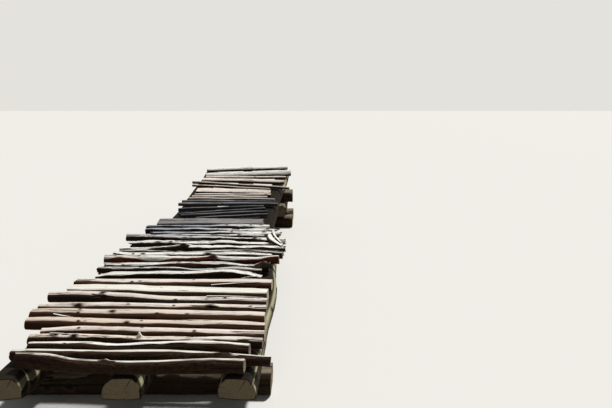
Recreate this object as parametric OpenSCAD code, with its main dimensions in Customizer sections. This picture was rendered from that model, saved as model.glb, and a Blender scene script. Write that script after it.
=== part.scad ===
// Rustic log footbridge: split and whole poles laid side by side across
// three natural logs. The low end rests on one hewn sill log, the high end
// on a small crib of crossed logs. X runs across the deck, Y along it from
// the low end to the high end, Z up. The origin is the middle of the low
// sill's flat underside.

/* [Deck] */
// Length of the deck over all its treads
deck_len = 4700; // [4200:10:5200]
// Width of the deck over the ends of its longest treads
deck_w = 1700; // [1400:10:2000]
// Height of the level seats on the stringers above the ground
seat_h = 330; // [300:1:400]
// Slope of the rising part of the deck, in degrees
rise_deg = 12; // [8:0.5:15]
// Width of every tread as a share of its full width
tread_fit = 1; // [0.8:0.01:1]
// Height of every tread as a share of its full height
tread_rise = 1; // [0.7:0.01:1.2]

/* [Stringers] */
// Depth of the stringer logs between their hewn top and underside
stringer_depth = 180; // [150:1:186]
// Radius of the stringer logs at the low end
butt_r = 104; // [102:1:120]
// Radius of the stringer logs at the high end
tip_r = 98; // [97:1:110]
// How far the stringers reach past the middle line of the first tread
low_reach = 92; // [85:1:140]
// How far the stringers reach past the middle line of the last tread
high_reach = 100; // [60:1:120]
// Length of the slanted cut under the stringers' low tips
slant_len = 230; // [120:1:240]
// How far that cut rises at the tips
slant_rise = 66; // [0:1:90]

/* [Low sill] */
// Length of the low sill log
low_sill_len = 1660; // [1500:10:1900]

/* [High crib] */
// Length of the crib's logs that lie across the bridge
crib_len = 1400; // [1300:10:1650]
// Length of the crib's logs that lie along the bridge
crib_depth = 600; // [480:10:700]
// Distance from the high tips of the stringers back to the crib's middle
crib_back = 323; // [300:1:360]
// Radius of a hewn log as a share of its hewn height
hewn_share = 0.62; // [0.56:0.01:0.7]

/* [Hidden] */
// Forms of a tread's section: the height of its widest line as a share
ROUND = 0.42;
HALF = 0;
SLAB = -1;

// Where each log lies in a deck 4700 long and 1700 wide, from the low end.
// station: distance of the tread's middle line from the low sill
// wide, high: its size across and above the seats
// form: a nearly whole round, a half round or a squared slab
// left, right: how far each end reaches from the deck's middle line
// skew: turn in plan, in degrees; bow: sweep of its middle along the deck
TABLE_LEN = 4700;
TABLE_W = 1700;
TREADS = [
    // station, wide, high, form, left, right, skew, bow
    [-333, 64, 82, ROUND, 560, 715, -2.2, -34],
    [-262, 66, 78, ROUND, 600, 850, -2, 0],
    [-176, 72, 84, ROUND, 560, 725, -2.5, 0],
    [-90, 64, 78, ROUND, 600, 790, -1.5, 0],
    [-8, 82, 84, ROUND, 570, 795, -2.2, 0],
    [95, 98, 90, ROUND, 730, 790, -2.6, 0],
    [222, 118, 96, ROUND, 762, 780, -2.2, 0],
    [343, 92, 86, ROUND, 770, 775, -1.2, 0],
    [480, 104, 92, ROUND, 797, 775, -3.8, 4],
    [632, 118, 76, SLAB, 715, 765, -2.8, 0],
    [770, 122, 94, ROUND, 742, 785, -1.6, 0],
    [991, 92, 64, SLAB, 672, 695, 0, 0],
    [1078, 46, 70, ROUND, 706, 676, -0.8, 0],
    [1152, 76, 84, ROUND, 682, 745, -0.4, 8],
    [1345, 80, 80, ROUND, 738, 805, -0.2, 0],
    [1425, 70, 78, SLAB, 720, 760, -1, 0],
    [1500, 54, 72, ROUND, 695, 830, -1.6, 0],
    [1610, 72, 78, SLAB, 75, 860, -0.9, 0],
    [1690, 50, 66, ROUND, 710, 60, 8.5, 0],
    [1778, 94, 70, SLAB, 710, 865, -3, 0],
    [1962, 76, 78, ROUND, 795, 860, -4.4, 0],
    [2076, 54, 70, ROUND, 522, 640, 0.3, 0],
    [2158, 80, 76, ROUND, 615, 800, -0.5, 0],
    [2267, 88, 80, ROUND, 682, 741, -0.9, 0],
    [2425, 96, 74, ROUND, 738, 640, -0.2, 0],
    [2607, 150, 52, SLAB, 640, 590, 0.3, 0],
    [2745, 38, 44, ROUND, 240, 592, 6.1, 0],
    [2816, 48, 52, ROUND, 430, 587, 6.8, 0],
    [2892, 36, 44, ROUND, 472, 556, 8.4, 0],
    [2977, 38, 52, ROUND, 501, 526, 4.8, 0],
    [3081, 62, 58, ROUND, 531, 697, -0.5, 0],
    [3166, 40, 50, ROUND, 510, 654, -1, 0],
    [3230, 52, 56, ROUND, 450, 651, -2.2, 0],
    [3300, 52, 54, ROUND, 413, 545, -0.4, 0],
    [3370, 48, 52, ROUND, 395, 590, -1.2, 0],
    [3487, 136, 48, SLAB, 395, 578, -2.9, 0],
    [3628, 38, 46, ROUND, 504, 572, -8, 0],
    [3721, 42, 48, ROUND, 523, 827, -8.4, 0],
    [3827, 100, 71, ROUND, 391, 752, -4.9, 0],
    [3957, 52, 54, ROUND, 360, 759, 1, 0],
    [4092, 146, 62, HALF, 382, 823, 5.2, 0],
    [4253, 84, 72, ROUND, 400, 774, 5.4, 0]];
// The first tread on the rising part of the deck
FIRST_RISING = 26;

// Middle lines of the stringers: distance along the deck, then sideways place
LEFT_SWEEP = [[-440, -570], [1500, -560], [2480, -500], [3300, -420], [4330, -350]];
MIDDLE_SWEEP = [[-440, 60], [1500, 95], [2480, 115], [3300, 155], [4330, 185]];
RIGHT_SWEEP = [[-440, 672], [300, 682], [850, 707], [1500, 660], [2480, 562], [3300, 592], [4330, 690]];

// Rings along a tread, corners round its section
TREAD_RINGS = 8;
SECTION_STEPS = 9;
// Corners up each side of a stringer, rings on its level and rising parts
SIDE_STEPS = 5;
LEVEL_RINGS = 9;
RISING_RINGS = 6;
// From where the deck starts to rise to the near edge of the first rising tread
RISE_LEAD = 51;
// Chamfer of a slab's upper corners as a share of its height
SLAB_CHAMFER = 0.16;
// A tread's width in the table is its greatest and its height is its mean, so the mean taper
// and waist are given back to the height
MEAN_TAPER = 0.05;
MEAN_SWELL = 0.04;
// Clear space between a crib block's end and the side of a crib sill
BLOCK_END = 20;
TREAD_TONES = ["#cfc2b2", "#b9ada0", "#d8ccbd", "#a89d92"];

// Scale of the table's sizes along and across the deck
along = deck_len / TABLE_LEN;
across = deck_w / TABLE_W;
rise = tan(rise_deg);
// The deck starts to rise shortly before the near edge of the first rising tread
bend_y = (TREADS[FIRST_RISING - 1][0] - TREADS[FIRST_RISING - 1][1] / 2 - RISE_LEAD) * along;
low_tip_y = TREADS[0][0] * along - low_reach;
high_tip_y = TREADS[len(TREADS) - 1][0] * along + high_reach;
low_course = seat_h - stringer_depth;
crib_y = high_tip_y - crib_back;

function seat_z(y) = seat_h + max(0, y - bend_y) * rise;
function wave(i, s, turns) = sin(360 * turns * s + i * 137);
function tread_name(i) = str("tread_", i < 10 ? "0" : "", i);

// Sideways place of a stringer's middle line, eased between the sweep's points
function sweep_x(sweep, y) =
    let (
        last = len(sweep) - 1,
        k = lookup(y / along, [for (i = [0:last]) [sweep[i][0], i]]),
        i = min(floor(k), last - 1),
        t = k - i,
        ease = t * t * (3 - 2 * t))
    across * (sweep[i][1] * (1 - ease) + sweep[i + 1][1] * ease);

// One course of the crib, which fills the height under the stringers in three
course_h = (seat_z(crib_y) - stringer_depth) / 3;
crib_log_r = course_h * hewn_share;
// Middle of the crib across the bridge, and from it to each of its sills
crib_x = (sweep_x(LEFT_SWEEP, crib_y) + sweep_x(RIGHT_SWEEP, crib_y)) / 2;
crib_spread = crib_depth / 2 - crib_log_r - BLOCK_END;

// Skin of facets over rings that have equal numbers of corners
module skin(rings) {
    n = len(rings[0]);
    m = len(rings);
    polyhedron(
        points = [for (ring = rings) each ring],
        faces = concat(
            [[for (i = [0:n - 1]) i]],
            [[for (i = [n - 1:-1:0]) (m - 1) * n + i]],
            [for (j = [0:m - 2], i = [0:n - 1]) let (
                a = j * n + i,
                b = j * n + (i + 1) % n) each [[a, a + n, b + n], [a, b + n, b]]]));
}

// Section of a tread with its flat underside on z = 0
function tread_section(wide, high, form) =
    form == SLAB
        ? let (c = SLAB_CHAMFER * high) [
            [wide / 2, 0], [wide / 2, high - c], [wide / 2 - c, high],
            [-wide / 2 + c, high], [-wide / 2, high - c], [-wide / 2, 0]]
        : let (
            middle = form * high,
            radius = high - middle,
            start = -asin(min(1, middle / radius)))
            [for (k = [0:SECTION_STEPS])
                let (a = start + (180 - 2 * start) * k / SECTION_STEPS)
                [wide / 2 * cos(a), middle + radius * sin(a)]];

// A naturally crooked tread that tapers towards one end
module tread_log(i, wide, high, form, left, right, bow) {
    rings = [for (k = [0:TREAD_RINGS])
        let (
            s = k / TREAD_RINGS,
            x = -left + (left + right) * s,
            taper = 1 - 0.1 * (i % 2 == 0 ? s : 1 - s),
            end = (k == 0 || k == TREAD_RINGS) ? 0.94 : 1,
            swell = 1 - 0.04 * (1 + wave(i, s, 1.6)),
            y = bow * (1 - pow(2 * s - 1, 2)) + 0.02 * wide * wave(i, s, 1.1))
        [for (p = tread_section(
                wide * taper * end * swell, high * (taper + MEAN_TAPER) * end * (swell + MEAN_SWELL), form))
            [x, y + p[0], p[1]]]];
    skin(rings);
}

// Seats a tread on the level or on the rising part of the stringers
module on_seat(station, skew) {
    translate([0, station, seat_z(station)])
        rotate([station > bend_y ? rise_deg : 0, 0, 0])
            rotate([0, 0, skew])
                children();
}

module tread(i) {
    t = TREADS[i - 1];
    on_seat(t[0] * along, atan(tan(t[6]) * along / across))
        tread_log(
            i, t[1] * along * tread_fit, t[2] * along * tread_rise, t[3],
            t[4] * across, t[5] * across, t[7] * along);
}

// A swept stringer log with its top and underside hewn flat
module stringer(sweep) {
    slant_end = low_tip_y + slant_len;
    stations = concat(
        [low_tip_y],
        [for (k = [0:LEVEL_RINGS]) slant_end + (bend_y - slant_end) * k / LEVEL_RINGS],
        [for (k = [1:RISING_RINGS]) bend_y + (high_tip_y - bend_y) * k / RISING_RINGS]);
    rings = [for (y = stations)
        let (
            s = (y - low_tip_y) / (high_tip_y - low_tip_y),
            r = butt_r + (tip_r - butt_r) * s,
            x = sweep_x(sweep, y),
            z = seat_z(y) - stringer_depth / 2,
            upper = asin(stringer_depth / 2 / r),
            lower = y < slant_end ? asin((stringer_depth / 2 - slant_rise) / r) : upper)
        [for (from = [-lower, 180 - upper], k = [0:SIDE_STEPS])
            let (a = from + (lower + upper) * k / SIDE_STEPS)
            [x + r * cos(a), y, z + r * sin(a)]]];
    skin(rings);
}

// A straight log along X, hewn flat above and below, standing on z = 0
module hewn_log(len, high) {
    intersection() {
        translate([-len / 2, 0, high / 2])
            rotate([0, 90, 0])
                cylinder(h = len, r = high * hewn_share, $fn = 48);
        translate([-len / 2, -high, 0])
            cube([len, 2 * high, high]);
    }
}

// The sill log under the low ends of the stringers
module low_sill() {
    color("#77685a")
        hewn_log(low_sill_len, low_course);
}

// A log of the crib's lowest course, towards one end of the bridge
module crib_sill(side) {
    color("#6f6255")
        translate([crib_x, crib_y + side * crib_spread, 0])
            hewn_log(crib_len, course_h);
}

// A log of the crib's second course, under one of the outer stringers
module crib_block(sweep) {
    color("#7b6c5c")
        translate([sweep_x(sweep, crib_y), crib_y, course_h])
            rotate([0, 0, 90])
                hewn_log(crib_depth, course_h);
}

// The crib's top log, its seat cut to the slope of the stringers
module crib_bearer() {
    color("#77685a")
        translate([crib_x, crib_y, 2 * course_h])
            intersection() {
                translate([-crib_len / 2, 0, course_h / 2])
                    rotate([0, 90, 0])
                        cylinder(h = crib_len, r = crib_log_r, $fn = 48);
                translate([-crib_len / 2, -course_h, 0])
                    cube([crib_len, 2 * course_h, 2 * course_h]);
                translate([0, 0, course_h])
                    rotate([rise_deg, 0, 0])
                        translate([-crib_len / 2, -2 * course_h, -3 * course_h])
                            cube([crib_len, 4 * course_h, 3 * course_h]);
            }
}

for (i = [1:len(TREADS)])
    color(TREAD_TONES[i % len(TREAD_TONES)]) tread(i);
color("#8a7a68") stringer(LEFT_SWEEP);  // stringer_left
color("#857563") stringer(MIDDLE_SWEEP);  // stringer_middle
color("#8a7a68") stringer(RIGHT_SWEEP);  // stringer_right
low_sill();
crib_sill(-1);  // crib_sill_front
crib_sill(1);  // crib_sill_back
crib_block(LEFT_SWEEP);  // crib_block_left
crib_block(RIGHT_SWEEP);  // crib_block_right
crib_bearer();
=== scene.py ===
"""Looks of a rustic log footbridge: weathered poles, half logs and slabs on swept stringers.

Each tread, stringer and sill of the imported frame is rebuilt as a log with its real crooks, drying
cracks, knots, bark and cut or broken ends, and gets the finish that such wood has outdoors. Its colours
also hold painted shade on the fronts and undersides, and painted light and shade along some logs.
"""

import logging
import math
from dataclasses import dataclass, field, replace
from enum import Enum
from functools import partial

import bpy
import numpy as np
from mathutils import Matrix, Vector


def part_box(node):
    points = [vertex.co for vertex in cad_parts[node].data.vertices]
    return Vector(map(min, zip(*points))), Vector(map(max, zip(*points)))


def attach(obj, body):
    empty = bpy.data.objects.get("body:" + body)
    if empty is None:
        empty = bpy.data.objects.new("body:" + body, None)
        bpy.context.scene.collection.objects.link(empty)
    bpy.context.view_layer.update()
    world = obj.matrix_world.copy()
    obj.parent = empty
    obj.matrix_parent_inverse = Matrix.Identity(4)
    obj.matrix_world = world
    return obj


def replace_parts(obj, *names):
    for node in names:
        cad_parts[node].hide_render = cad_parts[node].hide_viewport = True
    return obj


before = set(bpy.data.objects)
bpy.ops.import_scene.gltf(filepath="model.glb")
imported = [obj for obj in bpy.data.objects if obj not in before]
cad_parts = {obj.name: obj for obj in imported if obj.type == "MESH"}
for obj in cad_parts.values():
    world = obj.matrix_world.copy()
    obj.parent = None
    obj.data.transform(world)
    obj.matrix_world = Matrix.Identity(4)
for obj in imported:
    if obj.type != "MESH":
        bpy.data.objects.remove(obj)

LOG = logging.getLogger("footbridge")
MM = 0.001

# The frame's axes: to the right of a walker who goes up the bridge, ahead, and up.
RIGHT, AHEAD, UP = np.eye(3)

# Places of the inputs of the nodes Map Range and Mix, and of Mix's colour output.
VALUE, FROM_MIN, FROM_MAX, TO_MIN, TO_MAX = range(5)
SHARE, BELOW, ABOVE = 0, 6, 7
COLOUR = 2

Line = tuple[tuple[float, float], ...]
Socket = bpy.types.NodeSocket


class Cut(Enum):
    """How the end of a log was made."""

    SAWN = "sawn"
    AXED = "axed"
    BROKEN = "broken"


class Section(Enum):
    """The form of a log's section."""

    ROUND = "round"
    HALF = "half"
    SLAB = "slab"
    HEWN = "hewn"


def linear(code: str) -> tuple[float, float, float, float]:
    """Turns an sRGB hex colour to linear.

    Args:
        code: The colour as "#rrggbb".

    Returns:
        Its linear red, green and blue, and an alpha of 1.
    """
    parts = [int(code[i : i + 2], 16) / 255 for i in (1, 3, 5)]
    red, green, blue = (c / 12.92 if c <= 0.04045 else ((c + 0.055) / 1.055) ** 2.4 for c in parts)
    return red, green, blue, 1.0


def ease(t: np.ndarray) -> np.ndarray:
    """Eases 0 to 1 with level ends, clipping what lies outside."""
    t = np.clip(t, 0.0, 1.0)
    return t * t * (3 - 2 * t)


def eased_line(line: Line, s: np.ndarray) -> np.ndarray:
    """A line along a log that is eased from point to point.

    Args:
        line: Points of the line, each a place along the log from 0 to 1 and a value.
        s: Places along the log.

    Returns:
        The line's value at each place, or 0 where there is no line.
    """
    if not line:
        return s * 0.0
    at, value = np.array(line).T
    i = np.clip(np.searchsorted(at, s) - 1, 0, len(at) - 2)
    t = ease((s - at[i]) / (at[i + 1] - at[i]))
    return value[i] * (1 - t) + value[i + 1] * t


def drift(rng: np.random.Generator, u: np.ndarray, v: np.ndarray, nu: float, nv: int) -> np.ndarray:
    """Smooth random relief over a log's skin, which closes on itself round the log.

    Args:
        rng: The log's own seeded source.
        u: Place along the log, 0 to 1.
        v: Place round the log, 0 to 1.
        nu: Waves along the log.
        nv: Waves round the log.

    Returns:
        Values between -1 and 1, in the broadcast shape of u and v.
    """
    columns = max(2, int(math.ceil(nu)) + 2)
    lattice = rng.uniform(-1, 1, (columns, max(1, nv)))
    # A hair short of the last column, so that there is always a next one.
    x = np.clip(u, 0, 1) * (columns - 1.001)
    y = (v % 1.0) * nv
    i, j = np.floor(x).astype(int), np.floor(y).astype(int)
    a, b = ease(x - i), ease(y - j)
    j0, j1 = j % nv, (j + 1) % nv
    low = lattice[i, j0] * (1 - b) + lattice[i, j1] * b
    high = lattice[i + 1, j0] * (1 - b) + lattice[i + 1, j1] * b
    return low * (1 - a) + high * a


def node_corners(name: str) -> np.ndarray:
    """The corners of a node of the frame in metres, each once."""
    return np.unique(np.round([v.co[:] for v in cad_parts[name].data.vertices], 6), axis=0)


@dataclass(frozen=True)
class Knot:
    """A knot, a burl or the stub of a branch.

    Attributes:
        at: Its place along the log from the left or low end, 0 to 1.
        angle: Its place round the log in degrees: 90 on top, 180 on the walker's side.
        size: Its radius in millimetres.
        lift: How far it stands proud in millimetres.
        hole: How deep its middle is sunk, as a share of its lift: 0 on a burl or a stub.
    """

    at: float
    angle: float
    size: float
    lift: float = 4.0
    hole: float = 1.3


@dataclass(frozen=True)
class Crack:
    """A drying crack along the grain.

    Attributes:
        start: Where it starts along the log, 0 to 1, or less where it runs out at the end.
        end: Where it ends along the log, 0 to 1, or more where it runs out at the end.
        angle: Its place round the log in degrees.
        width: Its width in millimetres.
        depth: Its depth in millimetres.
        turn: How far it turns round the log from start to end, in degrees.
    """

    start: float
    end: float
    angle: float
    width: float = 4.0
    depth: float = 9.0
    turn: float = 0.0


@dataclass
class LogForm:
    """The form of one log of the frame, as rings along its own axis.

    Attributes:
        origin: A point on the log's underside at its first ring.
        along: Unit vector along the log.
        aside: Unit vector across it, level.
        up: Unit vector out of its seat.
        rings: One row a ring: place along, offset aside, half width, height of the underside,
            height of the widest line and height of the top.
        section: The form of its section.
        slope: Slope of its top across it.
    """

    origin: np.ndarray
    along: np.ndarray
    aside: np.ndarray
    up: np.ndarray
    rings: np.ndarray
    section: Section
    slope: float = 0.0

    @classmethod
    def of_tread(
        cls,
        name: str,
        corners_round: int = 10,
        corners_slab: int = 6,
        rings: int = 9,
        resting: float = 0.95,
        half_log: float = 0.1,
    ) -> "LogForm":
        """Reads a tread's form from its node in the frame.

        Args:
            name: The tread's name.
            corners_round: Corners round a section that is whole or half round.
            corners_slab: Corners round a slab's section.
            rings: Rings along a tread.
            resting: How far down a face looks, at least, where the tread rests.
            half_log: How high up the widest line of a half log lies at most, as a share.

        Returns:
            The tread's form.
        """
        points = node_corners(name)
        # The log's up is square to the flat underside that it rests on.
        down = np.zeros(3)
        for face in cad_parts[name].data.polygons:
            if face.normal.z < -resting:
                down += face.area * np.array(face.normal)
        up = -down / np.linalg.norm(down)
        count = len(points) // rings
        if count not in (corners_round, corners_slab):
            raise ValueError(f"{name} has {len(points)} corners")
        points = points[np.argsort(points[:, 0])].reshape(rings, count, 3)
        along = points[-1].mean(0) - points[0].mean(0)
        along -= up * along.dot(up)
        along /= np.linalg.norm(along)
        aside = np.cross(up, along)
        origin = points[0].mean(0)
        origin += up * ((points[0] - origin) @ up).min()
        rows = []
        for ring in points:
            x, y, z = ((ring - origin) @ axis for axis in (along, aside, up))
            widest = z[np.abs(y - y.mean()).argmax()]
            rows.append((x.mean(), (y.max() + y.min()) / 2, (y.max() - y.min()) / 2, 0.0, widest, z.max()))
        rings_read = np.array(rows)
        widest_share = rings_read[:, 4].mean() / rings_read[:, 5].mean()
        section = Section.HALF if widest_share < half_log else Section.ROUND
        if count == corners_slab:
            section = Section.SLAB
        return cls(origin, along, aside, up, rings_read, section)

    @classmethod
    def of_stringer(cls, name: str, corners: int = 12, whole: int = 2) -> "LogForm":
        """Reads a swept stringer's form from its node in the frame.

        Args:
            name: The stringer's name.
            corners: Corners round its section.
            whole: The first ring that the cut under the low tip leaves whole.

        Returns:
            The stringer's form, from its low tip to its high one.
        """
        points = node_corners(name)
        points = points[np.argsort(points[:, 1])].reshape(-1, corners, 3)
        rings = np.array(
            [
                (y.mean(), -(x.max() + x.min()) / 2, 0.0, z.min(), 0.0, z.max())
                for x, y, z in (ring.T for ring in points)
            ]
        )
        # The widest line keeps its depth below the top where the tip's underside is cut away.
        rings[:, 4] = rings[:, 5] - (rings[whole, 5] - rings[whole, 3]) / 2
        for row, ring in zip(rings, points):
            row[2] = np.hypot(ring[:, 0] + row[1], ring[:, 2] - row[4]).max()
        return cls(np.zeros(3), AHEAD, -RIGHT, UP, rings, Section.HEWN)

    @classmethod
    def of_hewn_log(
        cls,
        name: str,
        along: np.ndarray,
        sloping: tuple[float, float] = (0.9, 0.9999),
        top_area: float = 0.02,
    ) -> "LogForm":
        """Reads a straight hewn log's form from its node in the frame.

        Args:
            name: The log's name.
            along: The axis of the frame that it lies along.
            sloping: How far up a face looks, at least and at most, that is a sloping hewn top.
            top_area: The least area of such a face in square metres.

        Returns:
            The log's form.
        """
        low, high = (np.array(corner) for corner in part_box(name))
        aside = np.cross(UP, along)
        size = high - low
        length, width, height = size @ along, abs(size @ aside), size[2]
        slope = 0.0
        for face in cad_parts[name].data.polygons:
            if sloping[0] < face.normal.z < sloping[1] and face.area > top_area:
                slope = -face.normal.y / face.normal.z
                height = face.center.z - low[2] + slope * ((low[1] + high[1]) / 2 - face.center.y)
        start = (low + high) / 2 * (1 - along) + low * along
        start[2] = low[2]
        rows = [(t * length, 0.0, width / 2, 0.0, height / 2, height) for t in (0, 0.5, 1)]
        return cls(start, along, aside, UP, np.array(rows), Section.HEWN, slope)

    @classmethod
    def between(
        cls, start: np.ndarray, end: np.ndarray, width: float, height: float, bow: float, taper: float = 0.55
    ) -> "LogForm":
        """Lays a thin stick from one point to another, thinning towards its far end.

        Args:
            start: Where its underside starts.
            end: Where its underside ends.
            width: Its width at the start in metres.
            height: Its height at the start in metres.
            bow: How far it bows aside in metres.
            taper: Share of its width and height that it loses on its way.

        Returns:
            The stick's form.
        """
        along = end - start
        length = float(np.linalg.norm(along))
        along = along / length
        aside = np.cross(UP, along)
        aside /= np.linalg.norm(aside)
        rows = []
        for t in (0.0, 0.25, 0.5, 0.75, 1.0):
            thin = 1 - taper * t * t
            offset = bow * math.sin(math.pi * t)
            rows.append((t * length, offset, width / 2 * thin, 0.0, height / 2 * thin, height * thin))
        return cls(start, along, aside, np.cross(along, aside), np.array(rows), Section.ROUND)

    @property
    def length(self) -> float:
        """The log's length in metres."""
        return float(self.rings[-1, 0] - self.rings[0, 0])

    def sampled(self, x: np.ndarray) -> np.ndarray:
        """Rings at other places along the log, eased through the frame's rings.

        Args:
            x: Places along the log in metres.

        Returns:
            One row of ring values for each place.
        """
        known = self.rings[:, 0]
        slopes = np.gradient(self.rings, known, axis=0)
        i = np.clip(np.searchsorted(known, x) - 1, 0, len(known) - 2)
        gap = (known[i + 1] - known[i])[:, None]
        t = np.clip((x - known[i])[:, None] / gap, 0, 1)
        eased = (
            (2 * t**3 - 3 * t**2 + 1) * self.rings[i]
            + (t**3 - 2 * t**2 + t) * gap * slopes[i]
            + (3 * t**2 - 2 * t**3) * self.rings[i + 1]
            + (t**3 - t**2) * gap * slopes[i + 1]
        )
        if self.section is Section.HEWN:
            straight = self.rings[i] * (1 - t) + self.rings[i + 1] * t
            eased[:, 3:] = straight[:, 3:]
        return eased

    def placed(self, local: np.ndarray) -> np.ndarray:
        """Turns points in the log's own axes to the frame's."""
        return self.origin + local @ np.array([self.along, self.aside, self.up])


@dataclass
class Graph:
    """The nodes of one material.

    Attributes:
        tree: The material's node tree.
        masks: What varies over the object, by name.
    """

    tree: bpy.types.NodeTree
    masks: dict[str, Socket] = field(default_factory=dict)

    def add(
        self, kind: str, inputs: dict | None = None, output: int | str = 0, **settings: object
    ) -> Socket:
        """Adds a node with its settings and links.

        Args:
            kind: The node's type, without the words that every shader node starts with.
            inputs: What each input takes: a socket to link from, a hex colour or a value.
            output: Which of its outputs is wanted.
            **settings: The node's own properties.

        Returns:
            The output that is wanted.
        """
        new = self.tree.nodes.new(f"ShaderNode{kind}")
        for name, value in settings.items():
            setattr(new, name, value)
        for key, value in (inputs or {}).items():
            if isinstance(value, Socket):
                self.tree.links.new(value, new.inputs[key])
            else:
                new.inputs[key].default_value = linear(value) if isinstance(value, str) else value
        return new.outputs[output]


@dataclass(frozen=True)
class WoodFinish:
    """Wood that has stood outdoors, from its bleached face to its dark underside, partly painted shade.

    Attributes:
        name: The finish's name.
        slot: The record's material slot. Not used.
        sun: The bleached face.
        streak: The darker fibres of the bleached face.
        flank: The sides: weathered brown, darker on the fronts as painted shade.
        under: The underside: darker wood and painted shade.
        bark: Bark, where it is left.
        crack: The inside of cracks, splits and knots: dirt and painted shade.
        heart: The end grain.
        fibre: Spacing of the fibres in millimetres.
        patch: Width of a patch of one tone in millimetres.
        scale: Width of the bark's scales in millimetres.
        relief: Height of the fibres in millimetres.
        dry: Roughness of the dry face.
        gloss: Specular level, which is low on dry open grain.
        grime: Share of the bleached face that is stained.
        splits: How plainly fine splits show, 0 to 1.
        shade_blue: What the bluest wood is multiplied by, as painted skylit shade.
        warmer: What the warmest wood is multiplied by.
    """

    name: str
    slot: str
    sun: str
    streak: str
    flank: str
    under: str
    bark: str
    crack: str
    heart: str
    fibre: float = 5.0
    patch: float = 36.0
    scale: float = 11.0
    relief: float = 1.0
    dry: float = 0.86
    gloss: float = 0.12
    grime: float = 0.35
    splits: float = 0.6
    shade_blue: str = "#b9c6dc"
    warmer: str = "#e8c39c"

    def material(self) -> bpy.types.Material:
        """The finish as a node material, made once.

        Returns:
            The material.
        """
        made = bpy.data.materials.get(self.name)
        if made:
            return made
        made = bpy.data.materials.new(self.name)
        made.use_nodes = True
        graph = Graph(made.node_tree)
        shader = made.node_tree.nodes["Principled BSDF"]
        shader.inputs["Specular IOR Level"].default_value = self.gloss
        masks = graph.masks
        for name in ("shade", "crack", "knot", "bark", "end", "tone", "hue"):
            masks[name] = graph.add("Attribute", output="Fac", attribute_name=name)
        masks["place"] = graph.add("Attribute", output="Vector", attribute_name="grain")
        masks["fibres"] = self._streaks(graph, self.fibre, stretch=40, detail=4)
        masks["patches"] = self._streaks(graph, self.patch, stretch=7, detail=3)
        masks["splits"] = self._splits(graph)
        masks["scales"] = self._streaks(graph, self.scale, stretch=2.2, detail=5)
        colour = self._toned(graph, self._ends(graph, self._skin(graph)))
        rough = {VALUE: masks["fibres"], FROM_MIN: 0.35, FROM_MAX: 0.65}
        rough |= {TO_MIN: self.dry + 0.06, TO_MAX: self.dry - 0.1}
        links = made.node_tree.links
        links.new(colour, shader.inputs["Base Color"])
        links.new(graph.add("MapRange", rough), shader.inputs["Roughness"])
        links.new(self._bump(graph), shader.inputs["Normal"])
        return made

    def _streaks(self, graph: Graph, across: float, stretch: float, detail: float) -> Socket:
        """Random streaks along the log.

        Args:
            graph: The material's nodes.
            across: Spacing of the streaks in millimetres.
            stretch: How many times longer than wide they are.
            detail: How many finer octaves they hold.

        Returns:
            Values about 0.5.
        """
        waves = 1 / (across * MM)
        scale = (waves / stretch, waves, waves)
        drawn = graph.add("Mapping", {"Vector": graph.masks["place"], "Scale": scale})
        noise = {"Vector": drawn, "Scale": 1.0, "Detail": detail, "Roughness": 0.6, "Distortion": 0.2}
        return graph.add("TexNoise", noise)

    def _splits(self, graph: Graph, knots_along: float = 0.17, knots_round: float = 0.08) -> Socket:
        """Fine splits and small knots, too small for the mesh.

        Real splits are hair thin. They are drawn 1 to 2 mm wide, so that they show.

        Args:
            graph: The material's nodes.
            knots_along: How far apart the small knots are along the log in metres.
            knots_round: How far apart they are round it.

        Returns:
            How much of a split or small knot it is, 0 to 1.
        """
        # Thin lines where long streaks cross their middle value, in some patches only.
        lines = self._streaks(graph, 24, stretch=26, detail=2)
        lines = graph.add("Math", {0: lines, 1: 0.5}, operation="SUBTRACT")
        lines = graph.add("Math", {0: lines}, operation="ABSOLUTE")
        thin = {VALUE: lines, FROM_MIN: 0.004, FROM_MAX: 0.016, TO_MIN: self.splits, TO_MAX: 0.0}
        lines = graph.add("MapRange", thin)
        where = graph.add("MapRange", {VALUE: graph.masks["patches"], FROM_MIN: 0.42, FROM_MAX: 0.56})
        lines = graph.add("Math", {0: lines, 1: where}, operation="MULTIPLY")
        # One small knot in each cell.
        scale = (1 / knots_along, 1 / knots_round, 1 / knots_round)
        cells = graph.add("Mapping", {"Vector": graph.masks["place"], "Scale": scale})
        nearest = graph.add("TexVoronoi", {"Vector": cells, "Scale": 1.0}, "Distance")
        spots = {VALUE: nearest, FROM_MIN: 0.05, FROM_MAX: 0.13, TO_MIN: 0.9, TO_MAX: 0.0}
        return graph.add("Math", {0: lines, 1: graph.add("MapRange", spots)}, operation="MAXIMUM")

    def _coats(self, graph: Graph, colour: Socket | str, *coats: tuple) -> Socket:
        """Lays coats over a colour, each where its mask is high.

        Args:
            graph: The material's nodes.
            colour: What is under the coats.
            *coats: Each a mask, the values of it where the coat starts and is full, the share of
                the coat where it is full, and its colour.

        Returns:
            The colour with its coats.
        """
        for mask, starts, full, share, tint in coats:
            part = graph.add("MapRange", {VALUE: mask, FROM_MIN: starts, FROM_MAX: full, TO_MAX: share})
            colour = graph.add("Mix", {SHARE: part, BELOW: colour, ABOVE: tint}, COLOUR, data_type="RGBA")
        return colour

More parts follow.
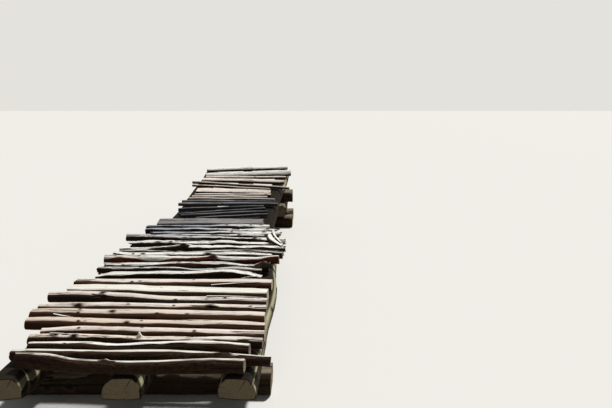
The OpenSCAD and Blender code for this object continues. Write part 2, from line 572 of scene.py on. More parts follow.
    def _skin(self, graph: Graph) -> Socket:
        """The skin's colour: bleached above, brown on the flanks and dark below, partly painted shade, bark
        where it is left.

        Args:
            graph: The material's nodes.

        Returns:
            The colour.
        """
        masks = graph.masks
        ragged = {VALUE: masks["fibres"], FROM_MIN: 0.3, FROM_MAX: 0.7, TO_MIN: -0.2, TO_MAX: 0.2}
        shade = graph.add("Math", {0: graph.add("MapRange", ragged), 1: masks["shade"]}, operation="ADD")
        darkening = 0.66 - 0.3 * self.grime
        bark = self._coats(
            graph, self.under,
            (masks["scales"], 0.4, 0.6, 1.0, self.bark),
            (masks["fibres"], 0.55, 0.7, 0.35, self.flank),
        )
        return self._coats(
            graph, self.sun,
            (masks["fibres"], 0.58, 0.42, 1.0, self.streak),
            (masks["patches"], darkening, darkening + 0.14, 0.55, self.flank),
            # The flanks and the underside are weathered wood darkened further as painted shade.
            (shade, 0.1, 0.9, 1.0, self.flank),
            (shade, 0.55, 1.6, 0.88, self.under),
            (masks["bark"], 0.3, 0.6, 1.0, bark),
            # Knots are dark wood. Their sunk middles, the splits and the cracks are near black with dirt and
            # painted shade.
            (masks["knot"], 0.04, 0.3, 0.6, self.flank),
            (masks["knot"], 0.3, 0.75, 1.0, self.crack),
            (masks["splits"], 0.0, 1.0, 0.9, self.crack),
            (masks["crack"], 0.15, 0.7, 1.0, self.crack),
        )

    def _ends(self, graph: Graph, colour: Socket, ring_gap: float = 7.0, uneven: float = 12.0) -> Socket:
        """End grain: yearly rings and splits that run out from the heart, all greyed.

        Real rings are 1 to 3 mm apart. They are drawn 7 mm apart, so that they show.

        Args:
            graph: The material's nodes.
            colour: The skin's colour.
            ring_gap: How far apart the rings are in millimetres.
            uneven: How far they wander in millimetres.

        Returns:
            The colour of skin and ends.
        """
        # Rings by the distance from the heart, a little uneven, and rays by the way from it.
        flat = graph.add("VectorMath", {0: graph.masks["place"], 1: (0, 1, 1)}, operation="MULTIPLY")
        out = graph.add("VectorMath", {0: flat}, "Value", operation="LENGTH")
        wander = graph.add("TexNoise", {"Vector": flat, "Scale": 22.0, "Detail": 2.0})
        wander = graph.add("Math", {0: wander, 1: uneven * MM}, operation="MULTIPLY")
        out = graph.add("Math", {0: out, 1: wander}, operation="ADD")
        turns = graph.add("Math", {0: out, 1: 2 * math.pi / (ring_gap * MM)}, operation="MULTIPLY")
        rings = graph.add("Math", {0: turns}, operation="SINE")
        way = graph.add("VectorMath", {0: flat}, operation="NORMALIZE")
        rays = graph.add("TexNoise", {"Vector": way, "Scale": 5.0, "Detail": 4.0, "Roughness": 0.7})
        grain = self._coats(
            graph, self.heart,
            (rings, 0.1, 0.9, 0.6, self.flank),
            (graph.masks["patches"], 0.5, 0.65, 0.4, self.streak),
            (rays, 0.6, 0.66, 0.85, self.crack),
        )
        return self._coats(graph, colour, (graph.masks["end"], 0.3, 0.6, 1.0, grain))

    def _toned(self, graph: Graph, colour: Socket, darkest: float = 0.62, lightest: float = 1.3) -> Socket:
        """Each log's tone, partly painted light and shade: lighter or darker, and bluer or warmer where hue
        is off 0.

        Args:
            graph: The material's nodes.
            colour: The colour before it.
            darkest: What the darkest tone multiplies the colour's value by.
            lightest: What the lightest tone multiplies it by.

        Returns:
            The colour with it.
        """
        tone = {VALUE: graph.masks["tone"], FROM_MIN: -1.0, FROM_MAX: 1.0, TO_MIN: darkest, TO_MAX: lightest}
        toned = graph.add("HueSaturation", {"Value": graph.add("MapRange", tone), "Color": colour})
        for full, tint in ((-1.0, self.shade_blue), (1.0, self.warmer)):
            share = graph.add("MapRange", {VALUE: graph.masks["hue"], FROM_MIN: 0.0, FROM_MAX: full})
            mix = {SHARE: share, BELOW: toned, ABOVE: tint}
            toned = graph.add("Mix", mix, COLOUR, data_type="RGBA", blend_type="MULTIPLY")
        return toned

    def _bump(self, graph: Graph) -> Socket:
        """Fine relief: raised fibres and sunk splits on the bare wood, scales on the bark.

        Args:
            graph: The material's nodes.

        Returns:
            The bent normals.
        """
        masks = graph.masks
        mix = {0: masks["bark"], 2: masks["fibres"], 3: masks["scales"]}
        height = graph.add("Mix", mix, data_type="FLOAT")
        height = graph.add("Math", {0: height, 1: masks["splits"]}, operation="SUBTRACT")
        return graph.add("Bump", {"Strength": 0.8, "Distance": self.relief * 3 * MM, "Height": height})


# Debarked poles that a few summers have bleached: warm cream on top, with tan fibres, and brown on the
# sides and near black below, partly weathering and partly painted shade.
CREAM_POLE = WoodFinish(
    "sun_bleached_pole", "weathered_wood",
    sun="#f4eadf", streak="#e3d5c6", flank="#52351f", under="#180e07",
    bark="#3f2c1e", crack="#1a110b", heart="#cdbf9f", grime=0.2,
)
# The same pole where soot-dark stain covers its sides.
STAINED_POLE = replace(CREAM_POLE, name="sun_bleached_pole_with_dark_sides", flank="#33251a", under="#110b07")
# The same poles where thin bark clings to their shaded side.
HALF_BARKED_POLE = WoodFinish(
    "half_barked_pole", "barked_pole",
    sun="#f5eadf", streak="#e5d5c7", flank="#50331f", under="#180e07",
    bark="#45301f", crack="#1a110b", heart="#cdbf9f", relief=1.3, grime=0.2,
)
# Poles that have greyed for years: the rain has washed out the brown, and fibres stand up.
SILVER_POLE = WoodFinish(
    "silver_grey_pole", "weathered_wood",
    sun="#a6a5a4", streak="#828181", flank="#57534f", under="#1c1917",
    bark="#2a2523", crack="#141210", heart="#8f897f", grime=0.5,
)
# Old slabs and poles that have begun to rot: bone pale and scoured, split along the grain.
BONE_WOOD = WoodFinish(
    "bone_pale_rotten_wood", "weathered_wood",
    sun="#f7f5ee", streak="#e0dbd0", flank="#3a2817", under="#100a06",
    bark="#2b1b11", crack="#100b08", heart="#8d7f6a", grime=0.15, relief=1.6, splits=1.0,
)
# The same, where red-brown heartwood shows on the sides.
RED_HEARTWOOD = replace(BONE_WOOD, name="bone_pale_wood_with_red_heart", flank="#6a3620", under="#2b130b")
# A newer sawn board: nearly white in the sun.
WHITE_BOARD = WoodFinish(
    "white_bleached_board", "weathered_wood",
    sun="#f6f3e7", streak="#e2dccd", flank="#7c6753", under="#35261a",
    bark="#4a3526", crack="#2a1d13", heart="#d2c3a4", grime=0.05, relief=0.6, splits=0.4,
)
# Poles that keep their bark, rubbed through along the top. The narrow bright top is also a painted highlight
# of a sunlit rim.
BARK_POLE = WoodFinish(
    "rough_barked_pole", "barked_pole",
    sun="#ebe8de", streak="#cdc5b5", flank="#3e2b1d", under="#1a110b",
    bark="#3a281b", crack="#120d09", heart="#a3927b", relief=1.8,
)
# The long stringers: grey-brown, with patches of bark.
STRINGER_WOOD = WoodFinish(
    "stringer_log_wood", "stringer_wood",
    sun="#c4c09c", streak="#9c9878", flank="#43382a", under="#120e0a",
    bark="#3d3022", crack="#191310", heart="#b3a184", patch=55.0, relief=1.6,
)
# Sill and crib logs near the water: dark and damp.
SILL_WOOD = WoodFinish(
    "damp_sill_log_wood", "sill_wood",
    sun="#8d806e", streak="#6e6251", flank="#5d4f3e", under="#33291f",
    bark="#3e3023", crack="#17110c", heart="#a08d72", patch=55.0, relief=1.8, dry=0.78,
)


@dataclass(frozen=True)
class LogLook:
    """What a log shows beside its form.

    Attributes:
        finish: Its finish.
        left: How its left or low end was made.
        right: How its right or high end was made.
        knots: Its knots, burls and stubs.
        cracks: Its drying cracks.
        rise: How far its top stands above its form in millimetres, along it.
        sway: How far it lies to the far side of its form in millimetres, along it.
        rot: How far rot has scoured it, 0 to 1.
        bark: Share of its skin that keeps bark, from the underside up.
        tone: Lighter or darker than its finish at evenly spaced places along it, -1 to 1; partly painted
            light and shade.
        hue: Bluer or warmer than its finish at evenly spaced places along it, -1 to 1; the blue is painted
            shade.
        jag: How far a broken end is jagged, in metres.
        crook: Swelling and waist along it as a share of its radius.
        flutes: Height of the ridges along it in millimetres.
        edge: How far from the top the bleached face reaches on the walker's side, in degrees; the darker
            front below it is partly painted shade.
        reach: The same along the log, where it isn't even.
        blur: Half width of that face's edge in degrees.
        checks: How many small drying cracks it has at random.
        seat_shade: How much darker it is at and beside its hewn seats, as painted shade of the treads.
        darkening: How much darker its skin is along it, as painted shade.
    """

    finish: WoodFinish
    left: Cut = Cut.SAWN
    right: Cut = Cut.SAWN
    knots: tuple[Knot, ...] = ()
    cracks: tuple[Crack, ...] = ()
    rise: Line = ()
    sway: Line = ()
    rot: float = 0.0
    bark: float = 0.0
    tone: tuple[float, ...] = (0.0, 0.0)
    hue: tuple[float, ...] = (0.0, 0.0)
    jag: float = 0.03
    crook: float = 0.035
    flutes: float = 1.0
    edge: float = 32.0
    reach: Line = ()
    blur: float = 7.0
    checks: int = 5
    seat_shade: float = 0.0
    darkening: Line = ()


@dataclass
class LogSkin:
    """The skin of one log, from its form to a mesh.

    Attributes:
        name: The piece's name.
        form: The log's form.
        look: What the log shows beside its form.
        seed: Seed of everything random on it.
        step: Spacing of the rings along it in metres.
        around: Corners round it.
        top_bias: How much closer the corners are on top than below.
        far_edge: How far from the top the bleached face reaches on the far side, in degrees.
        damp_and_shade_from: How far from the top the dark underside starts, in degrees: damp wood and painted
            shade.
        damp_and_shade_blur: Width of its edge in degrees.
        cap_rings: Rings that close an end.
        inset: How far the skin starts inside the form in metres, for its relief.
        rot_checks: How many more drying cracks a log has that rot has scoured all over.
        square: How square a slab's section is: 1 is round, and 0 has sharp corners.
        chip: Depth of an axe's chips in millimetres.
        below: Share of the relief that the underside shows.
        taper: The longest stretch in metres over which the skin follows the slant of an end.
    """

    name: str
    form: LogForm
    look: LogLook
    seed: int
    step: float = 0.012
    around: int = 64
    top_bias: float = 0.45
    far_edge: float = 55.0
    damp_and_shade_from: float = 105.0
    damp_and_shade_blur: float = 45.0
    cap_rings: int = 5
    inset: float = 0.001
    rot_checks: float = 22
    square: float = 0.34
    chip: float = 2.2
    below: float = 0.4
    taper: float = 0.25

    def __post_init__(self) -> None:
        """Seeds the log's random source and lays out its grid."""
        self.rng = np.random.default_rng(self.seed)
        self.s = self._stations()[:, None]
        self.angle, self.arc, self.girth = self._outline()
        self.v = (self.arc / self.girth)[None, :]
        self.cracks = self.look.cracks + self._checks()
        self.grid = np.zeros((0, 0, 3))

    def _stations(self, knot_rings: int = 9, knot_reach: float = 1.8) -> np.ndarray:
        """Places of the rings along the log: evenly spaced, and closer at knots.

        Args:
            knot_rings: Rings at a knot.
            knot_reach: How far they reach, in radii of the knot.

        Returns:
            The places, 0 to 1.
        """
        length = self.form.length
        places = [np.linspace(0, length, max(8, round(length / self.step)))]
        for knot in self.look.knots:
            spread = np.linspace(-knot_reach, knot_reach, knot_rings)
            places.append(knot.at * length + knot.size * MM * spread)
        wanted = np.sort(np.clip(np.concatenate(places), 0, length))
        nearest = 0.3 * self.step
        kept = [0.0]
        for place in wanted:
            if place - kept[-1] > nearest and length - place > nearest:
                kept.append(float(place))
        return np.array([*kept, length]) / length

    def _round(self, angle: np.ndarray) -> tuple[np.ndarray, np.ndarray]:
        """The section's unit form.

        Args:
            angle: Angles round the log.

        Returns:
            Places aside and up.
        """
        cos, sin = np.cos(angle), np.sin(angle)
        if self.form.section is Section.SLAB:
            return np.sign(cos) * np.abs(cos) ** self.square, np.sign(sin) * np.abs(sin) ** self.square
        return cos, sin

    def _outline(self, samples: int = 1441) -> tuple[np.ndarray, np.ndarray, float]:
        """Lays corners round the mean section, closer on top.

        Args:
            samples: Points at which the section is measured.

        Returns:
            The corners' angles, their places round the log in metres, and its girth in metres.
        """
        fine = np.linspace(-0.5, 1.5, samples) * math.pi
        cos, sin = self._round(fine)
        half, base, middle, top = self.form.rings[:, 2:6].mean(0)
        y, z = half * cos, np.maximum(middle + (top - middle) * sin, base)
        steps = np.hypot(np.diff(y), np.diff(z))
        arc = np.concatenate([[0], np.cumsum(steps)])
        load = np.concatenate([[0], np.cumsum(steps * (1 + self.top_bias * np.sin(fine[1:])))])
        angle = np.interp(np.arange(self.around) / self.around * load[-1], load, fine)
        return angle, np.interp(angle, fine, arc), float(arc[-1])

    def _drift(self, wave: float, around: int) -> np.ndarray:
        """Random relief over the skin, by the length of its waves in metres and their number round it."""
        return drift(self.rng, self.s, self.v, self.form.length / wave, around)

    def _wander(self, waves: float) -> np.ndarray:
        """A random line along the log, by the number of its waves."""
        return drift(self.rng, self.s, self.s * 0, waves, 1)

    def _gap(self, degrees: float | np.ndarray) -> np.ndarray:
        """How far each corner is from a line along the log.

        Args:
            degrees: The line's angle round the log, or its angle at each station.

        Returns:
            The signed way round the log in metres.
        """
        turned = (np.radians(degrees) + math.pi / 2) % (2 * math.pi) - math.pi / 2
        line = np.interp(turned, [*self.angle, 1.5 * math.pi], [*self.arc, self.girth])
        return (self.arc[None, :] - line + self.girth / 2) % self.girth - self.girth / 2

    def _checks(self) -> tuple[Crack, ...]:
        """Small drying cracks at random: some run in from the ends, some lie between them.

        Returns:
            The cracks.
        """
        checks = []
        for number in range(self.look.checks + round(self.rot_checks * self.look.rot)):
            reach = self.rng.uniform(0.05, 0.22)
            start = (-0.05, 1.05 - reach, self.rng.uniform(0.05, 0.9 - reach))[number % 3]
            angle, width, depth = self.rng.uniform((35, 2.2, 3), (175, 3.6, 7))
            checks.append(Crack(start, start + reach, angle, width, depth, self.rng.uniform(-9, 9)))
        return tuple(checks)

    def _sunk(self, opens: float = 6, aside: float = 3) -> tuple[np.ndarray, np.ndarray]:
        """Depth and mask of the drying cracks.

        Args:
            opens: How fast a crack opens from its tips: it is open after one part in this many.
            aside: How far a crack wanders aside in millimetres.

        Returns:
            How far the skin sinks in metres, and how much of a crack it is, 0 to 1.
        """
        depth = np.zeros((len(self.s), self.around))
        mask = np.zeros_like(depth)
        for crack in self.cracks:
            t = np.clip((self.s - crack.start) / (crack.end - crack.start), 0, 1)
            open_by = ease(t * opens) * ease((1 - t) * opens)
            wander = aside * MM * self._wander(9)
            gap = np.abs(self._gap(crack.angle + crack.turn * t) + wander)
            uneven = 0.75 + 0.25 * self._wander(14)
            width = np.maximum(crack.width * MM * open_by * uneven, 1e-6)
            shape = np.clip(1 - gap / width, 0, 1) * (open_by > 0.01)
            depth = np.maximum(depth, crack.depth * MM * shape * open_by)
            mask = np.maximum(mask, ease(shape * 2.2))
        return depth, mask

    def _raised(self, longer: float = 1.5) -> tuple[np.ndarray, np.ndarray]:
        """Lift and mask of the knots, raised at the rim and sunk in the middle.

        Args:
            longer: How much longer than wide a knot is.

        Returns:
            How far the skin stands proud in metres, and how much of a knot it is, 0 to 1.
        """
        lift = np.zeros((len(self.s), self.around))
        mask = np.zeros_like(lift)
        for knot in self.look.knots:
            size = knot.size * MM
            along = (self.s - knot.at) * self.form.length / (longer * size)
            gap = np.hypot(along, self._gap(knot.angle) / size)
            gap = gap * (1 + 0.25 * drift(self.rng, self.s, self.v, 60, 6))
            # A bulge that falls off with the distance, less a hollow about half as wide.
            lift += knot.lift * MM * (np.exp(-(gap**2) / 1.3) - knot.hole * np.exp(-((gap * 2.1) ** 2)))
            if knot.hole > 0:
                mask = np.maximum(mask, np.exp(-((gap * 1.2) ** 2)))
        return lift, mask

    def _relief(self) -> tuple[np.ndarray, np.ndarray, np.ndarray]:
        """Swelling, ridges, raised fibres, rot and bark of the skin.

        Returns:
            How far the skin stands proud in metres, how deep rot has gone and how much bark
            there is, both 0 to 1.
        """
        look = self.look
        # Long swellings, shorter flat spots, ridges along the log, and raised fibres.
        crook = look.crook * self.girth / (2 * math.pi)
        lift = crook * self._drift(0.28, 2)
        lift += 0.6 * crook * self._drift(0.16, 5)
        lift += look.flutes * MM * self._drift(0.32, 12)
        lift += 0.7 * MM * self._drift(0.07, 26)
        rotten = np.zeros((len(self.s), self.around))
        if look.rot > 0:
            # Rot scours hollows up to 12 mm deep and leaves the hard fibres standing.
            scour = self._drift(0.14, 9) + 0.6 * self._drift(0.05, 18)
            rotten = ease((scour - 0.9 + 1.1 * look.rot) * 1.6)
            lift -= rotten * (0.003 + 0.009 * look.rot)
            lift += 1.6 * MM * look.rot * self._drift(0.06, 34)
        # Bark stays longest on the underside, a little to the walker's side.
        edge = 0.5 - 0.5 * np.sin(self.angle + 0.35)[None, :]
        edge = edge + 0.2 * self._drift(0.24, 6) + 0.1 * self._drift(0.07, 14)
        bark = ease((edge - 1 + look.bark * 1.15) * 14) if look.bark > 0 else edge * 0
        lift += bark * MM * (2.0 + 1.5 * self._drift(0.05, 20))
        return lift, rotten, bark

    def _section(self, rows: np.ndarray, lift: np.ndarray) -> tuple[np.ndarray, np.ndarray, np.ndarray]:
        """Places the skin round each ring.

        Args:
            rows: One row of ring values for each station.
            lift: How far the skin stands proud at each corner, in metres.

        Returns:
            The corners' places aside and up, in the log's own axes, and where it is hewn flat.
        """
        offset, half, base, middle, top = (rows[:, k][:, None] for k in range(1, 6))
        cos, sin = (part[None, :] for part in self._round(self.angle))
        if self.form.section is Section.HEWN:
            y = offset + (half + lift - self.inset) * cos
            z = middle + (half + lift - self.inset) * sin
            chips = self.chip * MM * (1 + self._drift(0.13, 9))
            floor = base + chips
            ceiling = top + self.form.slope * (y - offset) - chips
            return y, np.clip(z, floor, ceiling), ((z > ceiling) | (z < floor)) * 1.0
        if self.form.section is Section.SLAB:
            middle = (base + top) / 2
        rise = MM * eased_line(self.look.rise, self.s)
        sway = MM * eased_line(self.look.sway, self.s)
        soft = np.where(sin < 0, self.below, 1.0)
        y = offset + sway + (half + lift * soft - self.inset) * cos
        z = middle + (top + rise - middle + lift * soft - self.inset) * np.maximum(sin, 0)
        z += (top - middle + lift * soft - self.inset) * np.minimum(sin, 0)
        return y, np.maximum(z, base), y * 0

    def _shade(self, rotten: np.ndarray) -> np.ndarray:
        """How far weathering and painted shade darken the skin: 0 bleached, 1 on the flanks, 2 below.

        Args:
            rotten: How deep rot has gone.

        Returns:
            The shade at each corner.
        """
        turn = np.degrees(self.angle)[None, :] - 90
        # The bleached face's edge wanders 5 degrees, and is the more ragged the more rot there is.
        long_wave, short_wave = 0.3, 0.06
        waves = 5 * self._wander(self.form.length / long_wave)
        ragged = 2.5 + 16 * self.look.rot
        waves = waves + ragged * self._wander(self.form.length / short_wave)
        blur = self.look.blur
        edge = eased_line(self.look.reach, self.s) if self.look.reach else self.look.edge
        # The front below the edge and the underside are darkened as painted shade as well as weathering.
        near = ease((turn - edge - waves + blur) / (2 * blur))
        far = ease((-turn - self.far_edge + waves + 2 * blur) / (4 * blur))
        below = ease((np.abs(turn) - self.damp_and_shade_from) / self.damp_and_shade_blur)
        return np.maximum(near, far) + below + 0.18 * rotten

    def _seat_shade_and_darkening(self, flat: np.ndarray, seat: float = 62, blur: float = 24) -> np.ndarray:
        """How much darker the skin is painted at and beside its hewn seats, as painted shade of the treads,
        and along it.

        Args:
            flat: Where the log is hewn flat.
            seat: How far from the top the painted shade of the treads reaches, in degrees.
            blur: Width of that band's edge in degrees.

        Returns:
            What is added to the shade.
        """
        beside = ease((seat - np.abs(np.degrees(self.angle) - 90)) / blur)[None, :]
        return self.look.seat_shade * np.maximum(flat, beside) + eased_line(self.look.darkening, self.s)

    def _end_shift(self, cut: Cut) -> np.ndarray:
        """How far an end's rim draws in.

        Args:
            cut: How the end was made.

        Returns:
            The way at each corner, in metres.
        """
        zero = self.v * 0
        # A saw runs a little askew. An axe leaves a slant with facets, and a break leaves coarse and
        # fine teeth.
        if cut is Cut.SAWN:
            return 0.0025 * (1 + np.cos(self.angle + self.rng.uniform(0, 6)))[None, :]
        if cut is Cut.AXED:
            slant = 0.5 * (1 + np.cos(self.angle - self.rng.uniform(1.2, 2.0)))[None, :]
            return 0.5 * self.look.jag * slant + 0.004 * (1 + drift(self.rng, zero, self.v, 1, 7))
        teeth = 0.5 + 0.5 * drift(self.rng, zero, self.v, 1, 11)
        teeth += 0.4 * (0.5 + 0.5 * drift(self.rng, zero, self.v, 1, 21))
        return self.look.jag * teeth

    def piece(self) -> bpy.types.Object:
        """Builds the log as an object.

        Returns:
            The object, with its finish.
        """
        form, look = self.form, self.look
        x = form.rings[0, 0] + form.length * self.s
        rows = form.sampled(x[:, 0])
        sunk, crack = self._sunk()
        raised, knot = self._raised()
        lift, rotten, bark = self._relief()
        y, z, flat = self._section(rows, lift + raised - sunk)
        reach = min(self.taper, 0.4 * form.length)
        near = ease(1 - self.s * form.length / reach)
        far = ease(1 - (1 - self.s) * form.length / reach)
        x = x + near * self._end_shift(look.left) - far * self._end_shift(look.right)
        skin = np.stack([np.broadcast_to(x, y.shape), y, z], axis=-1)
        masks = {
            "shade": self._shade(rotten) + self._seat_shade_and_darkening(flat),
            "crack": crack,
            "knot": knot,
            "bark": bark * (1 - flat),
            "end": crack * 0,
            "tone": crack * 0 + np.interp(self.s, np.linspace(0, 1, len(look.tone)), look.tone),
            "hue": crack * 0 + np.interp(self.s, np.linspace(0, 1, len(look.hue)), look.hue),
        }
        self.grid = form.placed(skin)
        return self._mesh(skin, masks, rows)

    def touch(self, at: float, degrees: float) -> np.ndarray:
        """The corner of the built skin nearest to a place along and round the log."""
        i = int(np.abs(self.s[:, 0] - at).argmin())
        return self.grid[i, int(np.abs(self._gap(degrees)[0]).argmin())]

    def _cap(self, ring: np.ndarray, cut: Cut, side: int) -> np.ndarray:
        """Rings that close an end, towards its heart.

        Args:
            ring: The end's rim.
            cut: How the end was made.
            side: -1 for the left end, 1 for the right one.

        Returns:
            The rings' points, then the heart.
        """
        heart = ring.mean(0)
        # How far the end's face stands uneven, in metres.
        rough = {Cut.SAWN: 0.0008, Cut.AXED: 0.004, Cut.BROKEN: 0.35 * self.look.jag}[cut]
        rings = []
        for k in range(1, self.cap_rings):
            share = 1 - (k / self.cap_rings) ** 1.15
            points = heart + (ring - heart) * share
            pull = drift(self.rng, self.v[0] * 0 + share, self.v[0], 2, 9)
            points[:, 0] -= side * rough * (1 + pull) * (1 - share**3)
            rings.append(points)
        return np.concatenate([*rings, [heart - [side * rough, 0, 0]]])

    def _heart(self, rows: np.ndarray, aside: float = 4) -> np.ndarray:
        """The line that the yearly rings run round, in the log's own axes.

        Args:
            rows: One row of ring values for each station.
            aside: How far it may lie aside of the middle in millimetres.

        Returns:
            Its place at each station.
        """
        middle, top = rows[:, 4], rows[:, 5]
        # A half log's heart lies by its flat side. A slab's lies below it, in the rest of the tree.
        height = {Section.HALF: 0.1 * top, Section.SLAB: -0.7 * top}.get(self.form.section, middle)
        return np.stack([middle * 0, rows[:, 1] + self.rng.uniform(-aside, aside) * MM, height], axis=-1)

    def _faces(self, k: int, n: int) -> list[list[int]]:
        """Faces of the skin's grid and of the two ends that close it.

        Args:
            k: Rings along the log.
            n: Corners round it.

        Returns:
            The numbers of each face's corners.
        """
        i, j = np.meshgrid(np.arange(k - 1), np.arange(n), indexing="ij")
        a, b = i * n + j, i * n + (j + 1) % n
        faces = [np.stack([a, b, b + n, a + n], axis=-1).reshape(-1, 4)[:, ::-1]]
        turn = np.arange(n)
        cap = (self.cap_rings - 1) * n
        for way, rim, first in ((1, 0, k * n), (-1, (k - 1) * n, k * n + cap + 1)):
            starts = [rim + turn] + [first + q * n + turn for q in range(self.cap_rings - 1)]
            for outer, inner in zip(starts, starts[1:]):
                quads = [outer, np.roll(outer, -1), np.roll(inner, -1), inner]
                faces.append(np.stack(quads, axis=-1)[:, ::way])
            heart = np.full(n, first + cap)
            faces.append(np.stack([starts[-1], np.roll(starts[-1], -1), heart], axis=-1)[:, ::way])
        return [face.tolist() for group in faces for face in group]

    def _mesh(self, skin: np.ndarray, masks: dict[str, np.ndarray], rows: np.ndarray) -> bpy.types.Object:
        """Turns the skin's grid and two closed ends into one mesh object.

        Args:
            skin: Corners of the skin in the log's own axes.
            masks: The skin's masks.
            rows: One row of ring values for each station.

        Returns:
            The object.
        """
        k, n = skin.shape[:2]
        caps = [self._cap(skin[0], self.look.left, -1), self._cap(skin[-1], self.look.right, 1)]
        local = np.concatenate([skin.reshape(-1, 3), *caps])
        mesh = bpy.data.meshes.new(self.name)
        mesh.from_pydata(self.form.placed(local).tolist(), [], self._faces(k, n))
        mesh.polygons.foreach_set("use_smooth", np.ones(len(mesh.polygons), dtype=bool))
        for name, values in masks.items():
            rims = {"end": (1, 1), "tone": self.look.tone, "hue": self.look.hue}.get(name, (0, 0))
            tails = [np.full(len(cap), value) for cap, value in zip(caps, (rims[0], rims[-1]))]
            store(mesh, name, np.concatenate([values.reshape(-1), *tails]))
        # Each log shows another stretch of the grain.
        shift = np.array([self.rng.uniform(-40, 40), 0, 0])
        heart = self._heart(rows)
        parts = zip((heart, heart[:1], heart[-1:]), (n, *map(len, caps)))
        hearts = [np.repeat(part, size, axis=0) for part, size in parts]
        store(mesh, "grain", local + shift - np.concatenate(hearts))
        self._sharpen(mesh, k, n)
        mesh.materials.append(self.look.finish.material())
        piece = bpy.data.objects.new(self.name, mesh)
        bpy.context.scene.collection.objects.link(piece)
        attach(piece, "root")
        LOG.info("%s: %s, %d faces", self.name, self.look.finish.name, len(mesh.polygons))
        return piece

    def _sharpen(self, mesh: bpy.types.Mesh, k: int, n: int) -> None:
        """Marks the rims of the two ends as sharp edges.

        Args:
            mesh: The log's mesh.
            k: Rings along the log.
            n: Corners round it.
        """
        pairs = np.zeros(len(mesh.edges) * 2, dtype=np.int64)
        mesh.edges.foreach_get("vertices", pairs)
        pairs = pairs.reshape(-1, 2)
        rims = (pairs < n).all(1) | ((pairs >= (k - 1) * n) & (pairs < k * n)).all(1)
        sharp = mesh.attributes.get("sharp_edge") or mesh.attributes.new("sharp_edge", "BOOLEAN", "EDGE")
        sharp.data.foreach_set("value", rims)


def store(mesh: bpy.types.Mesh, name: str, values: np.ndarray) -> None:
    """Stores numbers or vectors on a mesh's corners.

    Args:
        mesh: The mesh.
        name: The attribute's name.
        values: One number or one vector a vertex.
    """
    vector = values.ndim == 2
    attribute = mesh.attributes.new(name, "FLOAT_VECTOR" if vector else "FLOAT", "POINT")
    attribute.data.foreach_set("vector" if vector else "value", values.astype(np.float32).reshape(-1))


@dataclass
class Deck:
    """The treads, from the low end to the high end.

    Attributes:
        looks: What each tread shows.
        step: Spacing of the rings along a tread in metres.
        near_around: Corners round a tread near the walker.
        far_around: Corners round a tread further off.
        far_from: The first tread that counts as further off.
        first_seed: Seed before the first tread's.
        skins: The treads' skins, once built.
    """

    looks: tuple[LogLook, ...]
    step: float = 0.012
    near_around: int = 72
    far_around: int = 48
    far_from: int = 27
    first_seed: int = 100
    skins: list[LogSkin] = field(default_factory=list)

    def build(self) -> None:
        """Builds every tread over its node."""
        for number, look in enumerate(self.looks, 1):
            tread = f"tread_{number:02d}"
            around = self.far_around if number >= self.far_from else self.near_around
            form, seed = LogForm.of_tread(tread), self.first_seed + number
            skin = LogSkin(f"{tread}_wood", form, look, seed, self.step, around)
            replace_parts(skin.piece(), tread)
            self.skins.append(skin)


